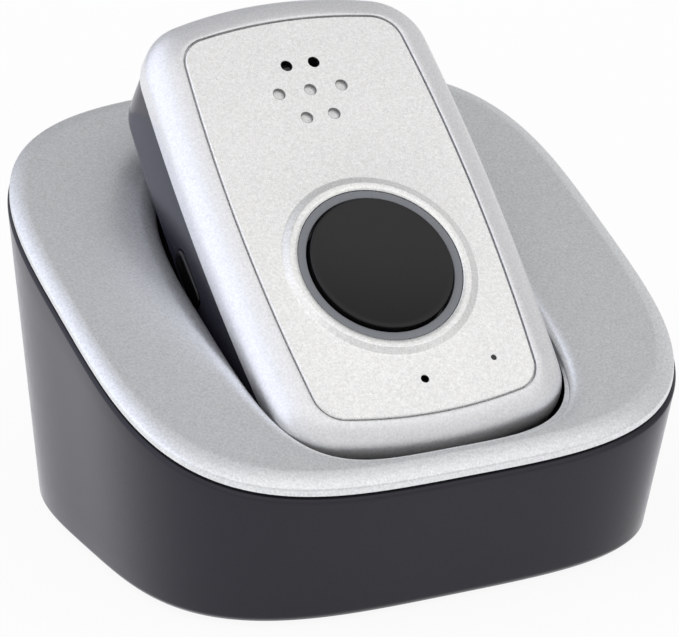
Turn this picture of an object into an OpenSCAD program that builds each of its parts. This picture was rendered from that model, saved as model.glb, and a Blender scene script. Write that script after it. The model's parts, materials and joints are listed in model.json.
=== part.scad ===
// Mobile medical alert pendant standing in its charging cradle, in millimetres.
// +X is right, +Y is back and +Z is up. The origin is on the table, under the middle of the cradle.

/* [Cradle] */
// Width of the cradle at the seam between base and cover
cradle_w = 88.4; // [82:0.2:100]
// Depth of the cradle at the seam
cradle_d = 82.2; // [80:0.2:95]
// Width of the base at the table
foot_w = 81.4; // [76:0.2:92]
// Depth of the base at the table
foot_d = 75.2; // [72:0.2:86]
// How far the base outline at the table lies behind the middle
foot_shift = 0.5; // [-1:0.1:1.5]
// Squareness of the cradle in plan, where 2 is an ellipse
plan_power = 3.45; // [3:0.05:4.5]
// Height of the seam over the middle of the cradle
seam_z = 36.9; // [35:0.1:42]
// Slope of the seam, which rises to the back
seam_tilt = 22; // [18:0.5:26]
// Height of the dark gap between base and cover
seam_gap = 0.45; // [0.3:0.05:1]
// Wall of the base shell
base_wall = 2; // [1.6:0.1:2.6]
// Width of the ledges inside the base shell
base_ledge = 1.4; // [1:0.1:1.5]
// Height of the base shell's lower edge over the table
base_lift = 0.6; // [0.3:0.1:1.5]

/* [Cover] */
// Rise of the cover over the seam
cover_rise = 2; // [1.8:0.1:3]
// Step in from the base's upper edge to the cover's edge
cover_inset = 0.3; // [0.1:0.05:0.6]
// Upright height of the cover's edge under its bevel
cover_edge = 1; // [0.7:0.1:1.2]
// Bevel of the cover's outer edge, seen from above
cover_bevel = 2.3; // [1.8:0.1:2.8]
// How far that bevel bulges
cover_bulge = 0.12; // [0.04:0.02:0.2]
// Thickness of the cover
cover_t = 1.5; // [1.2:0.1:1.6]
// Width of the rounding where the cover turns down along the pocket's sides
lip_roll = 3; // [2:0.1:3.2]
// Width of that rounding at the pocket's ends
lip_end_roll = 1.3; // [1:0.1:1.6]
// Depth of that rounding
lip_drop = 1.6; // [1.2:0.1:1.7]
// Thickness of the lip
lip_t = 1.4; // [1.2:0.1:1.6]
// Width of the cover's strip in front of the pocket
cover_front = 4.3; // [4:0.1:4.8]

/* [Pocket] */
// Gap between the pendant and the pocket's side wall
pocket_gap = 0.8; // [0.6:0.1:1.6]
// Gap between the pendant's lower end and the pocket's end wall
pocket_end_gap = 0.8; // [0.5:0.1:1.5]
// Gap between the pendant's back and the pocket floor at the lower end
pocket_floor_gap = 0.6; // [0.4:0.1:1]
// Distance of the pocket's rear edge behind the middle of the cradle
pocket_rear = 27.5; // [26:0.1:30]
// Squareness of the pocket's front half in plan
pocket_power = 4; // [3.4:0.1:5]
// Squareness of the pocket's rear half in plan
pocket_rear_power = 3; // [3:0.1:4.5]
// Wall of the pocket liner
liner_wall = 1.6; // [1.2:0.1:2]
// Thickness of the liner's flange under the cover
flange_t = 1.6; // [1.2:0.1:2.2]
// Width of the two rails that carry the pendant's back
rail_w = 2.4; // [1.6:0.1:4]
// Distance of each rail from the middle
rail_x = 16; // [12:0.5:19]

/* [Pendant] */
// Width of the pendant
pendant_w = 47.2; // [45:0.1:49]
// Length of the pendant
pendant_l = 76.4; // [74:0.1:77]
// Thickness of the pendant from face panel to back
pendant_t = 18.5; // [18.1:0.1:19.2]
// Corner radius of the pendant
pendant_corner = 9; // [8:0.1:10.5]
// How far the pendant's sides bulge
side_bow = 0.9; // [0.3:0.1:1.6]
// How far the pendant's ends bulge
end_bow = 1.65; // [0.8:0.05:2.4]
// Lean of the pendant's long axis from level
pendant_tilt = 41.3; // [39:0.1:43]
// Place of the face panel's middle along the depth of the cradle
pendant_y = -6; // [-7:0.1:-5]
// Height of the face panel's middle
pendant_z = 48.5; // [48:0.1:51]
// Depth of the silver front bezel
bezel_h = 6; // [5.5:0.1:7]
// Rounding of the bezel's outer edge
bezel_roll = 4; // [3:0.1:4.3]
// Wall of the bezel and of the rear case
shell_wall = 1.6; // [1.3:0.1:1.8]
// Step in from the bezel to the rear case
rear_step = 0.4; // [0.2:0.1:0.8]
// Taper of the rear case towards the back
rear_draft = 0.5; // [0.2:0.1:0.8]
// Rounding of the rear case's back edge
rear_roll = 3; // [2.4:0.1:3.4]
// Thickness of the back cover
back_t = 1.2; // [1:0.1:1.4]

/* [Face] */
// Width of the face panel
panel_w = 37.5; // [36:0.1:38.5]
// Length of the face panel
panel_l = 66.3; // [64:0.1:67]
// Thickness of the face panel
panel_t = 1; // [0.8:0.1:1.2]
// Corner radius of the face panel
panel_corner = 4.5; // [3:0.1:5]
// How far the panel's sides bulge
panel_side_bow = 1.3; // [0.6:0.1:1.6]
// How far the panel's ends bulge
panel_end_bow = 1.2; // [0.6:0.1:1.8]
// Groove around the face panel
panel_groove = 0.25; // [0.15:0.05:0.4]
// Place of the call button along the panel, from its middle
button_y = -9.05; // [-10:0.05:-8]
// Radius of the call button
button_r = 10.7; // [9.5:0.05:11]
// Height of the call button's rim over the panel
button_rise = 1; // [0.8:0.05:1.2]
// Depth of the dish in the call button
button_dish = 0.5; // [0.2:0.05:0.6]
// Travel of the call button
button_travel = 0.7; // [0.4:0.05:0.8]
// Width of the light ring around the button
ring_w = 1.25; // [1:0.05:1.6]
// Width of the raised bead around the light ring
bead_w = 2.4; // [2:0.1:2.8]
// Height of that bead
bead_h = 0.5; // [0.45:0.05:0.8]
// Place of the speaker holes along the panel
speaker_y = 21.1; // [20:0.1:22]
// Spread of the speaker holes in their middle row
speaker_pitch = 5.03; // [4.4:0.05:5.4]
// Distance from each row of speaker holes to the next
speaker_row = 4.5; // [4:0.1:5]
// Half the distance between the two holes of an outer row
speaker_half = 2.2; // [1.8:0.1:2.6]
// Radius of a speaker hole
speaker_hole_r = 0.88; // [0.6:0.02:1]
// Radius of the microphone hole
mic_r = 0.6; // [0.4:0.05:0.7]
// Distance of the microphone hole from the panel's lower end
mic_from_end = 5.3; // [5:0.1:6]
// Radius of the status light's hole
led_r = 0.42; // [0.4:0.02:0.6]
// Distance of the status light from the panel's right side
led_from_side = 7.2; // [6.4:0.1:7.6]
// Distance of the status light from the panel's lower end
led_from_end = 6.7; // [6.5:0.1:7.4]

/* [Side key] */
// Length of the side key
key_l = 9.2; // [8:0.1:11]
// Height of the side key
key_h = 3.4; // [2.8:0.1:3.6]
// Place of the side key along the pendant
key_y = 0.6; // [-1:0.1:2]
// Depth of the side key behind the face
key_z = 13.2; // [12.8:0.1:13.4]
// Travel of the side key
key_travel = 0.4; // [0.2:0.05:0.45]

/* [Contacts and inlet] */
// Spacing of the four charging contacts
contact_pitch = 5; // [4:0.1:5.5]
// Place of the contacts along the pendant, from its middle
contact_y = -29; // [-29.5:0.1:-27]
// Radius of a spring contact's barrel
barrel_r = 1; // [0.9:0.05:1.2]
// Radius of a spring contact's plunger
plunger_r = 0.55; // [0.45:0.01:0.65]
// Height of the power inlet's centre over the table
jack_z = 11.5; // [11:0.1:14]
// Radius of the power inlet's nose
jack_nose_r = 4; // [3.7:0.1:4.6]
// Radius of the power inlet's socket
jack_socket_r = 3.1; // [2.7:0.05:3.3]
// Radius of the pin inside the power inlet
jack_pin_r = 1; // [0.6:0.05:1.2]

/* [Feet and fixings] */
// Radius of a rubber foot
foot_r = 4; // [3:0.1:4.6]
// Sideways place of the feet
foot_x = 26; // [24:0.5:27]
// Front and back place of the feet
foot_y = 25; // [23:0.5:26]
// Sideways place of the liner's posts and the bottom screws
post_x = 31; // [30.5:0.1:32]
// Place of the front posts
post_front = -13; // [-14:0.5:-10]
// Place of the rear posts
post_rear = 14; // [11:0.5:15]
// Radius of a post
post_r = 3; // [2.6:0.1:3.3]
// Radius of a bottom screw's shank
screw_r = 1.25; // [1:0.05:1.4]

/* [Hidden] */
$fn = 64;

// Small distances that several pieces share
eps = 0.05;
fit_gap = 0.1;
cut_past = 1;
plan_pts = 72;
roll_steps = 6;
side_pts = 6;
corner_pts = 7;
end_pts = 5;

// Cradle: derived values
seam_slope = tan(seam_tilt);
plate_t = 2;
plate_top = base_lift + plate_t;
plate_gap = 0.3;
ledge_h = 1;
foot_seat = 0.6;
screw_head_r = 2.4;
screw_head_h = 1.1;
screw_bite = 8;
screw_sunk = 0.2;
screw_seat = base_lift + screw_sunk + screw_head_h;
pocket_half = pendant_w / 2 + pocket_gap;
pocket_end = pendant_y - (pendant_l / 2 + pocket_end_gap) * cos(pendant_tilt) + fit_gap;
opening_front = cover_front - cradle_d / 2;
opening_mid = (pocket_rear + opening_front) / 2;
opening_depth = (pocket_rear - opening_front) / 2;

// Pendant: derived values, heights measured from the face panel along its normal
half_w = pendant_w / 2;
half_l = pendant_l / 2;
deck_t = 1.35;
deck_z = -panel_t - deck_t;
frame_t = 1.1;
frame_top = deck_z - eps;
frame_bottom = frame_top - frame_t;
board_top = -8;
board_t = 1;
board_bottom = board_top - board_t;
back_z = -pendant_t;
back_inner = back_z + back_t;
back_rim = 0.5;
back_inset = rear_step + rear_draft + rear_roll + back_rim;
back_ledge = 1.1;
button_gap = 0.4;
ring_in = button_r + button_gap;
ring_out = ring_in + ring_w;
ring_rise = 0.25;
flange_under = 0.25;
flange_r = ring_out - flange_under;
case_screw_out = [1.1, 0.75];
case_screw_x = half_w - pendant_corner - side_bow + case_screw_out[0];
case_screw_y = half_l - pendant_corner - end_bow + case_screw_out[1];
case_screw_r = 0.7;
case_boss_r = 1.8;
screw_slack = 0.2;
tact_h = 1.6;
tact_w = 6;
tact_floor = 0.2;
plunger_h = 0.9;
stem_end = board_top + 2 * tact_floor + plunger_h + button_travel;
contact_xs = [for (i = [-1.5 : 1 : 1.5]) i * contact_pitch];
pad_r = 1.3;
pad_t = 0.6;
case_head_r = 1.6;
case_head_h = 0.9;
plunger_well_r = 1.75;

// Face panel holes: place and whether the hole goes through
speaker_holes = [
    [-speaker_half, speaker_y + speaker_row, true],
    [speaker_half, speaker_y + speaker_row, true],
    [-speaker_pitch, speaker_y, false],
    [0, speaker_y, false],
    [speaker_pitch, speaker_y, false],
    [-speaker_half, speaker_y - speaker_row, false],
    [speaker_half, speaker_y - speaker_row, false]
];
mic_y = mic_from_end - panel_l / 2;
led_x = panel_w / 2 - led_from_side;
led_y = led_from_end - panel_l / 2;

// Pendant electronics
speaker_r = 8.4;
speaker_t = 3;
speaker_port_r = 6.2;
boot_r = 1.9;
mic_size = [3.5, 2.7, 1];
pipe_r = 1.2;
led_size = [1.6, 1.6, 0.8];
battery_size = [28, 40, 5.6];
battery_y = -5;
shield_size = [24, 28, 2.2];
side_switch_size = [3, 7.2, 6];
satellite_size = [13, 13, 3.2];
satellite_from_end = 12.7;
cellular_size = [20, 2.6, 3];
cellular_from_mic = 4.6;

// Side key
key_wall_x = half_w - rear_step - rear_draft * (key_z - bezel_h) / (pendant_t - rear_roll - bezel_h);
key_gap = 0.2;
key_proud = 0.35;
key_slack = 0.25;
key_inside = shell_wall + key_slack;
key_flange_t = 0.6;
key_stem = 0.6;
key_tip_x = -key_wall_x + key_inside + key_flange_t + key_stem;

// Contact board, in the pendant's frame
cboard_w = 34;
cboard_l = 16;
cboard_t = 1.2;
cboard_shift = 3;
cboard_y = contact_y + cboard_shift;
cboard_drop = 2.6;
cboard_top = back_z - pocket_floor_gap - liner_wall - cboard_drop;
cboard_bottom = cboard_top - cboard_t;
cboard_screw = [13, 4];
cboard_boss_r = 2.2;
cboard_bite = 2;

// Power inlet and its board
jboard_w = 26;
jboard_l = 25;
jboard_t = 1.2;
jack_w = 10;
jack_d = 11;
jack_socket_l = 9.5;
jack_drop = 6.1;
jboard_top = jack_z - jack_drop;
jboard_bottom = jboard_top - jboard_t;
jack_sunk = 0.3;
jack_back = jack_wall_y(jack_z) - jack_sunk;
jack_clear = 0.8;
jack_face = jack_back - base_wall - jack_clear;
jack_over = 1;
jboard_y = jack_face - jack_over - jboard_l / 2;
jboard_screw = [10, 9.5];
jboard_post_r = 2.1;
board_screw_r = 0.9;
board_head_r = 1.6;
board_head_h = 1.2;
header = [6, 5, 3];
header_shift = 8;
header_y = contact_y + header_shift;
lead_r = 1;
lead_steps = 9;
lead_sides = 8;
contact_travel = 0.9;
plunger_seat = 0.4;
plunger_low = cboard_top + plunger_seat;

function signed_pow(v, e) = sign(v) * pow(abs(v), e);
function seam_at(y) = seam_z + seam_slope * y;

// Points of a superellipse in plan, half sizes a and b, centred on y0
function super_ring(a, b, y0, p) = [
    for (i = [0 : plan_pts - 1])
        let (t = 360 * i / plan_pts)
        [a * signed_pow(cos(t), 2 / p), y0 + b * signed_pow(sin(t), 2 / p)]
];
function seam_plan(inset) = super_ring(cradle_w / 2 - inset, cradle_d / 2 - inset, 0, plan_power);
function foot_plan(inset) = super_ring(foot_w / 2 - inset, foot_d / 2 - inset, foot_shift, plan_power);

// A plan of the pocket, squarer at its front than at its rear
function pocket_ring(a, b, y0) = [
    for (i = [0 : plan_pts - 1])
        let (
            t = 360 * i / plan_pts,
            p = t < 180 ? pocket_rear_power : pocket_power
        )
        [a * signed_pow(cos(t), 2 / p), y0 + b * signed_pow(sin(t), 2 / p)]
];
function opening_plan(outset) = pocket_ring(pocket_half + outset, opening_depth + outset, opening_mid);

// Plan of the lip around the cover's opening, from its wall at 0 to the start of its rounding at 1
function lip_plan(f) =
    pocket_ring(pocket_half + lip_roll * f, opening_depth + lip_end_roll * f, opening_mid);

// Plan of the liner's opening, which ends at the pocket's end wall
function liner_plan(outset) =
    let (depth = (pocket_rear - pocket_end) / 2)
    pocket_ring(pocket_half + outset, depth + outset, pocket_end + depth);

// A plan raised to h over the sloping seam, or laid level at z
function on_seam(plan, h) = [for (q = plan) [q[0], q[1], seam_at(q[1]) + h]];
function on_level(plan, z) = [for (q = plan) [q[0], q[1], z]];
function between(a, b, f) = [for (i = [0 : len(a) - 1]) a[i] * (1 - f) + b[i] * f];

// Where the outer face of the base shell's back wall lies at height z
function jack_wall_y(z) =
    let (f = (z - base_lift) / (seam_at(cradle_d / 2) - seam_gap - base_lift))
    (foot_shift + foot_d / 2) * (1 - f) + cradle_d / 2 * f;

// Points of an arc, without its last one
function arc(c, r, from, to, n) = [
    for (i = [0 : n - 1])
        let (t = from + (to - from) * i / n)
        [c[0] + r * cos(t), c[1] + r * sin(t)]
];

// A rounded rectangle with bulging sides: eight arcs that run smoothly into each other
function bowed(a, b, r, side, end) =
    let (
        cx = a - r - side,
        cy = b - r - end,
        rs = r + (side * side + cy * cy) / (2 * side),
        re = r + (end * end + cx * cx) / (2 * end),
        ts = asin(cy / (rs - r)),
        te = asin(cx / (re - r))
    )
    concat(
        arc([a - rs, 0], rs, -ts, ts, side_pts),
        arc([cx, cy], r, ts, 90 - te, corner_pts),
        arc([0, b - re], re, 90 - te, 90 + te, end_pts),
        arc([-cx, cy], r, 90 + te, 180 - ts, corner_pts),
        arc([rs - a, 0], rs, 180 - ts, 180 + ts, side_pts),
        arc([-cx, -cy], r, 180 + ts, 270 - te, corner_pts),
        arc([0, re - b], re, 270 - te, 270 + te, end_pts),
        arc([cx, -cy], r, 270 + te, 360 - ts, corner_pts)
    );
function case_plan(inset) =
    bowed(half_w - inset, half_l - inset, pendant_corner - inset, side_bow, end_bow);
function panel_plan(outset) =
    bowed(panel_w / 2 + outset, panel_l / 2 + outset, panel_corner + outset, panel_side_bow, panel_end_bow);

// The pendant's frame: x across, y up its length, z out of its face, from the middle of the face panel
module in_pendant() {
    translate([0, pendant_y, pendant_z]) rotate([pendant_tilt, 0, 0]) children();
}
function to_pendant(y, z) = [
    (y - pendant_y) * cos(pendant_tilt) + (z - pendant_z) * sin(pendant_tilt),
    (z - pendant_z) * cos(pendant_tilt) - (y - pendant_y) * sin(pendant_tilt)
];
function from_pendant(x, y, z) = [
    x,
    pendant_y + y * cos(pendant_tilt) - z * sin(pendant_tilt),
    pendant_z + y * sin(pendant_tilt) + z * cos(pendant_tilt)
];

// A closed shell whose section is a loop of rings, listed up the outside and down the inside
module ring_loop(rings) {
    n = len(rings[0]);
    m = len(rings);
    points = [for (r = rings) each r];
    faces = [
        for (i = [0 : m - 1])
            for (j = [0 : n - 1])
                let (
                    k = (i + 1) % m,
                    l = (j + 1) % n
                )
                each [
                    [i * n + j, k * n + j, k * n + l],
                    [i * n + j, k * n + l, i * n + l]
                ]
    ];
    polyhedron(points, faces);
}

// A round tube along a route in a plane of constant x
module lead_tube(route, r, sides) {
    m = len(route);
    heading = [
        for (i = [0 : m - 1])
            let (d = route[min(i + 1, m - 1)] - route[max(i - 1, 0)])
            d / norm(d)
    ];
    points = [
        for (i = [0 : m - 1])
            for (j = [0 : sides - 1])
                let (
                    t = 360 * j / sides,
                    side = cross(heading[i], [1, 0, 0])
                )
                route[i] + r * (cos(t) * [1, 0, 0] + sin(t) * side)
    ];
    walls = [
        for (i = [0 : m - 2])
            for (j = [0 : sides - 1])
                let (l = (j + 1) % sides)
                each [
                    [i * sides + j, i * sides + l, (i + 1) * sides + l],
                    [i * sides + j, (i + 1) * sides + l, (i + 1) * sides + j]
                ]
    ];
    caps = [
        for (j = [1 : sides - 2])
            each [
                [0, j + 1, j],
                [(m - 1) * sides, (m - 1) * sides + j, (m - 1) * sides + j + 1]
            ]
    ];
    polyhedron(points, concat(walls, caps));
}

module tube(r_out, r_in, z0, z1) {
    translate([0, 0, z0]) difference() {
        cylinder(r = r_out, h = z1 - z0);
        translate([0, 0, -cut_past]) cylinder(r = r_in, h = z1 - z0 + 2 * cut_past);
    }
}
module rod(r, z0, z1) {
    translate([0, 0, z0]) cylinder(r = r, h = z1 - z0);
}
module block(w, l, z0, z1) {
    translate([-w / 2, -l / 2, z0]) cube([w, l, z1 - z0]);
}
// A box of three sizes, standing on z or hanging from it
module box_on(size, z) {
    block(size[0], size[1], z, z + size[2]);
}
module box_under(size, z) {
    block(size[0], size[1], z - size[2], z);
}
// A cross recess cut into a screw head from below
module cross_recess(length, width, z0, z1) {
    for (a = [0, 90]) rotate([0, 0, a]) block(length, width, z0, z1);
}
// A slab of thickness t under the sloping plane of the seam, or over it where t is negative
module seam_slab(t) {
    translate([0, 0, seam_z]) rotate([seam_tilt, 0, 0])
        block(2 * cradle_w, 2 * cradle_d, min(-t, 0) * cos(seam_tilt), max(-t, 0) * cos(seam_tilt));
}
module plate(plan, z0, z1) {
    translate([0, 0, z0]) linear_extrude(z1 - z0) polygon(plan);
}
// A profile drawn across the pendant, extruded over a width w in x
module across(w, profile) {
    rotate([90, 0, 90]) translate([0, 0, -w / 2]) linear_extrude(w) polygon(profile);
}
module at_case_screws() {
    for (x = [-case_screw_x, case_screw_x])
        for (y = [-case_screw_y, case_screw_y])
            translate([x, y, 0]) children();
}
module at_posts() {
    for (x = [-post_x, post_x])
        for (y = [post_front, post_rear])
            translate([x, y, 0]) children();
}
module at_contacts() {
    for (x = contact_xs) translate([x, contact_y, 0]) children();
}
module at_contact_screws() {
    for (x = [-cboard_screw[0], cboard_screw[0]])
        translate([x, cboard_y + cboard_screw[1], 0]) children();
}
module at_jack_screws() {
    for (x = [-jboard_screw[0], jboard_screw[0]])
        for (y = [-jboard_screw[1], jboard_screw[1]])
            translate([x, jboard_y + y, 0]) children();
}
module at_feet() {
    for (x = [-foot_x, foot_x])
        for (y = [-foot_y, foot_y])
            translate([x, y, 0]) children();
}
// The side key's frame: y along the pendant, z out through the left wall
module key_place() {
    translate([-key_wall_x, key_y, -key_z]) rotate([0, -90, 0]) children();
}
// A stadium grown by a gap and lengthened at both ends, from one depth to another
module key_form(gap, longer, from, to) {
    reach = (key_l - key_h) / 2 + longer;
    for (y = [-reach, reach]) translate([0, y, 0]) rod(key_h / 2 + gap, from, to);
    block(key_h + 2 * gap, 2 * reach, from, to);
}

// Cradle

module cradle_base_shell() {
    low_edge = 0.8;
    top_edge = 0.4;
    wall_steps = 3;
    bottom = on_level(foot_plan(0), base_lift + low_edge);
    top = on_seam(seam_plan(0), -seam_gap - top_edge);
    color([0.25, 0.25, 0.27]) difference() {
        ring_loop(concat(
            [on_level(foot_plan(low_edge), base_lift)],
            [for (i = [0 : wall_steps]) between(bottom, top, i / wall_steps)],
            [
                on_seam(seam_plan(top_edge), -seam_gap),
                on_seam(seam_plan(base_wall), -seam_gap),
                on_seam(seam_plan(base_wall), -flange_t),
                on_seam(seam_plan(base_wall + base_ledge), -flange_t),
                on_seam(seam_plan(base_wall + base_ledge), -flange_t - ledge_h),
                on_seam(seam_plan(base_wall + plate_gap), -flange_t - 2 * ledge_h),
                on_level(foot_plan(base_wall + plate_gap), plate_top + 2 * ledge_h),
                on_level(foot_plan(base_wall + base_ledge), plate_top + ledge_h),
                on_level(foot_plan(base_wall + base_ledge), plate_top),
                on_level(foot_plan(base_wall), plate_top),
                on_level(foot_plan(base_wall), base_lift)
            ]
        ));
        translate([0, jack_back - 2 * base_wall, jack_z])
            rotate([-90, 0, 0])
            cylinder(r = jack_nose_r + fit_gap, h = 4 * base_wall);
    }
}

module cradle_top_cover() {
    rise = cover_rise - cover_edge;
    slant = norm([cover_bevel, rise]);
    bevel = [
        for (i = [0 : roll_steps])
            let (
                s = i / roll_steps,
                bulge = cover_bulge * sin(180 * s) / slant
            )
            on_seam(
                seam_plan(cover_inset + cover_bevel * s - bulge * rise),
                cover_edge + rise * s + bulge * cover_bevel
            )
    ];
    crest = bevel[roll_steps];
    lip = [
        for (i = [0 : roll_steps])
            let (t = 90 * i / roll_steps)
            on_seam(lip_plan(1 - sin(t)), cover_rise - lip_drop * (1 - cos(t)))
    ];
    color([0.74, 0.75, 0.76]) ring_loop(concat(
        [on_seam(seam_plan(cover_inset), 0)],
        bevel,
        [between(crest, lip[0], 0.5)],
        lip,
        [
            on_seam(liner_plan(0), 0),
            on_seam(opening_plan(lip_t), 0),
            on_seam(opening_plan(lip_t), cover_rise - cover_t),
            on_seam(seam_plan(cover_inset + cover_t), cover_rise - cover_t),
            on_seam(seam_plan(cover_inset + cover_t), 0)
        ]
    ));
}

module pocket_liner() {
    end_y = -(half_l + pocket_end_gap);
    floor_z = back_z - pocket_floor_gap;
    high = 40;
    hole_past = 2;
    rear = to_pendant(pocket_rear + fit_gap, seam_at(pocket_rear + fit_gap));
    run = rear - [end_y, floor_z];
    along = run / norm(run);
    out = [along[1], -along[0]];
    corner = [end_y - liner_wall, floor_z + (out[1] - (out[0] + 1) * along[1] / along[0]) * liner_wall];
    rail_top = back_z - eps;
    rail_inset = 8;
    rail_low = end_y + rail_inset;
    rail_high = 14;
    function floor_at(y) = floor_z + (y - end_y) * along[1] / along[0];
    color([0.1, 0.1, 0.11]) {
        difference() {
            union() {
                difference() {
                    intersection() {
                        in_pendant() across(2 * (pocket_half + fit_gap + liner_wall), [
                            [end_y - liner_wall, high],
                            corner,
                            rear + out * liner_wall + along * high,
                            rear + along * high + [0, high]
                        ]);
                        linear_extrude(2 * seam_z) polygon(seam_plan(base_wall + base_ledge + fit_gap));
                    }
                    in_pendant() across(2 * (pocket_half + fit_gap), [
                        [end_y, 2 * high],
                        [end_y, floor_z],
                        rear + along * 2 * high,
                        rear + along * 2 * high + [0, 2 * high]
                    ]);
                }
                in_pendant() for (x = [-rail_x, rail_x])
                    translate([x, 0, 0]) across(rail_w, [
                        [rail_low, rail_top],
                        [rail_low, floor_at(rail_low) - liner_wall / 2],
                        [rail_high, floor_at(rail_high) - liner_wall / 2],
                        [rail_high, rail_top]
                    ]);
                in_pendant() at_contact_screws()
                    rod(cboard_boss_r, cboard_top, floor_at(cboard_y + cboard_screw[1]) - liner_wall / 2);
                intersection() {
                    seam_slab(flange_t - eps);
                    linear_extrude(2 * seam_z) difference() {
                        polygon(seam_plan(base_wall + fit_gap));
                        polygon(liner_plan(fit_gap));
                    }
                }
                for (x = [-post_x, post_x])
                    for (y = [post_front, post_rear])
                        translate([x, y, 0]) rod(post_r, plate_top, seam_at(y + post_r));
            }
            seam_slab(-2 * high);
            at_posts() rod(screw_r + eps, plate_top - cut_past, plate_top + screw_bite + hole_past);
            in_pendant() at_contacts() rod(barrel_r + fit_gap, cboard_top - cut_past, back_z);
            in_pendant() at_contact_screws()
                rod(board_screw_r + eps, cboard_top - cut_past, cboard_top + cboard_bite + fit_gap);
        }
    }
}

module cradle_bottom_plate() {
    pilot_floor = 0.5;
    color([0.14, 0.14, 0.15]) difference() {
        union() {
            plate(foot_plan(base_wall + plate_gap), base_lift, plate_top);
            at_jack_screws() rod(jboard_post_r, plate_top - eps, jboard_bottom);
        }
        at_feet() rod(foot_r + eps, base_lift - cut_past, base_lift + foot_seat);
        at_posts() rod(screw_head_r + screw_slack, base_lift - cut_past, screw_seat);
        at_posts() rod(screw_r + screw_slack, base_lift - cut_past, plate_top + cut_past);
        at_jack_screws() rod(board_screw_r + eps, base_lift + pilot_floor, jboard_bottom + cut_past);
    }
}

module rubber_feet() {
    color([0.06, 0.06, 0.06]) at_feet() rod(foot_r, 0, base_lift + foot_seat);
}

module bottom_screws() {
    head_z = screw_seat - screw_head_h;
    recess = 0.7;
    cross_l = 2.6;
    cross_w = 0.6;
    color([0.62, 0.63, 0.65]) at_posts() difference() {
        union() {
            rod(screw_head_r, head_z, screw_seat);
            rod(screw_r, screw_seat - eps, plate_top + screw_bite);
        }
        cross_recess(cross_l, cross_w, head_z - cut_past, head_z + recess);
    }
}

module contact_board() {
    color([0.09, 0.3, 0.16]) in_pendant() difference() {
        translate([0, cboard_y, 0]) block(cboard_w, cboard_l, cboard_bottom, cboard_top);
        at_contacts() rod(barrel_r + eps, cboard_bottom - cut_past, cboard_top + cut_past);
        at_contact_screws() rod(board_screw_r + fit_gap, cboard_bottom - cut_past, cboard_top + cut_past);
    }
}

module contact_barrels() {
    collar = 0.5;
    tail = 1.1;
    bore_floor = 0.3;
    below_pad = 0.9;
    high = back_z - below_pad;
    color([0.85, 0.7, 0.36]) in_pendant() at_contacts() difference() {
        union() {
            rod(barrel_r, cboard_bottom - tail, high);
            rod(barrel_r + collar, cboard_top, cboard_top + collar);
        }
        rod(plunger_r + eps, plunger_low - contact_travel - bore_floor, high + cut_past);
    }
}

module contact_plungers() {
    tip = 0.35;
    color([0.85, 0.7, 0.36]) in_pendant() at_contacts() {
        rod(plunger_r, plunger_low, back_z - eps - tip);
        translate([0, 0, back_z - eps - tip]) cylinder(r1 = plunger_r, r2 = plunger_r / 2, h = tip);
    }
}

module jack_board() {
    color([0.09, 0.3, 0.16]) difference() {
        translate([0, jboard_y, 0]) block(jboard_w, jboard_l, jboard_bottom, jboard_top);
        at_jack_screws() rod(board_screw_r + fit_gap, jboard_bottom - cut_past, jboard_top + cut_past);
    }
}

module power_jack() {
    roof = 0.4;
    top = jack_z + jack_nose_r + roof;
    color([0.05, 0.05, 0.05]) difference() {
        union() {
            translate([-jack_w / 2, jack_face - jack_d, jboard_top]) cube([jack_w, jack_d, top - jboard_top]);
            translate([0, jack_face - eps, jack_z])
                rotate([-90, 0, 0])
                cylinder(r = jack_nose_r, h = jack_back - jack_face + eps);
        }
        translate([0, jack_back - jack_socket_l, jack_z])
            rotate([-90, 0, 0])
            cylinder(r = jack_socket_r, h = jack_socket_l + cut_past);
    }
}

module jack_pin() {
    recess = 1.2;
    color([0.8, 0.8, 0.8]) translate([0, jack_back - jack_socket_l, jack_z])
        rotate([-90, 0, 0])
        cylinder(r = jack_pin_r, h = jack_socket_l - recess);
}

module lead_headers() {
    color([0.9, 0.88, 0.8]) {
        in_pendant() translate([0, header_y, 0])
            box_under(header, cboard_bottom);
        translate([0, jboard_y - jboard_l / 2 + header[1] / 2, 0])
            box_on(header, jboard_top);
    }
}

module charger_lead() {
    start = from_pendant(0, header_y, cboard_bottom - header[2]);
    end = [0, jboard_y - jboard_l / 2, jboard_top + header[2] / 2];
    fall = (start[2] - end[2]) / cos(pendant_tilt);
    bend = [0, start[1] + fall * sin(pendant_tilt), end[2]];
    color([0.65, 0.1, 0.1]) lead_tube([
        for (i = [0 : lead_steps])
            let (t = i / lead_steps)
            start * (1 - t) * (1 - t) + bend * 2 * t * (1 - t) + end * t * t
    ], lead_r, lead_sides);
}

module board_screws() {
    tip_floor = 0.7;
    color([0.75, 0.75, 0.76]) {
        in_pendant() at_contact_screws() {
            rod(board_head_r, cboard_bottom - board_head_h, cboard_bottom);
            rod(board_screw_r, cboard_bottom - eps, cboard_top + cboard_bite);
        }
        at_jack_screws() {
            rod(board_head_r, jboard_top, jboard_top + board_head_h);
            rod(board_screw_r, base_lift + tip_floor, jboard_top + eps);
        }
    }
}

// Pendant shells

module front_bezel() {
    roll = [
        for (i = [0 : roll_steps])
            let (t = 90 * i / roll_steps)
            on_level(case_plan(bezel_roll * (1 - cos(t))), -bezel_roll * (1 - sin(t)))
    ];
    ledge = 1.8;
    deck_in = 0.6;
    shoulder = 2;
    color([0.8, 0.81, 0.82]) in_pendant() ring_loop(concat(
        [on_level(case_plan(0), -bezel_h)],
        roll,
        [
            on_level(panel_plan(panel_groove), 0),
            on_level(panel_plan(panel_groove), -panel_t - eps),
            on_level(panel_plan(-ledge), -panel_t - eps),
            on_level(panel_plan(-ledge), deck_z),
            on_level(case_plan(shell_wall + deck_in), deck_z),
            on_level(case_plan(shell_wall), deck_z - shoulder),
            on_level(case_plan(shell_wall), -bezel_h)
        ]
    ));
}

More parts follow.
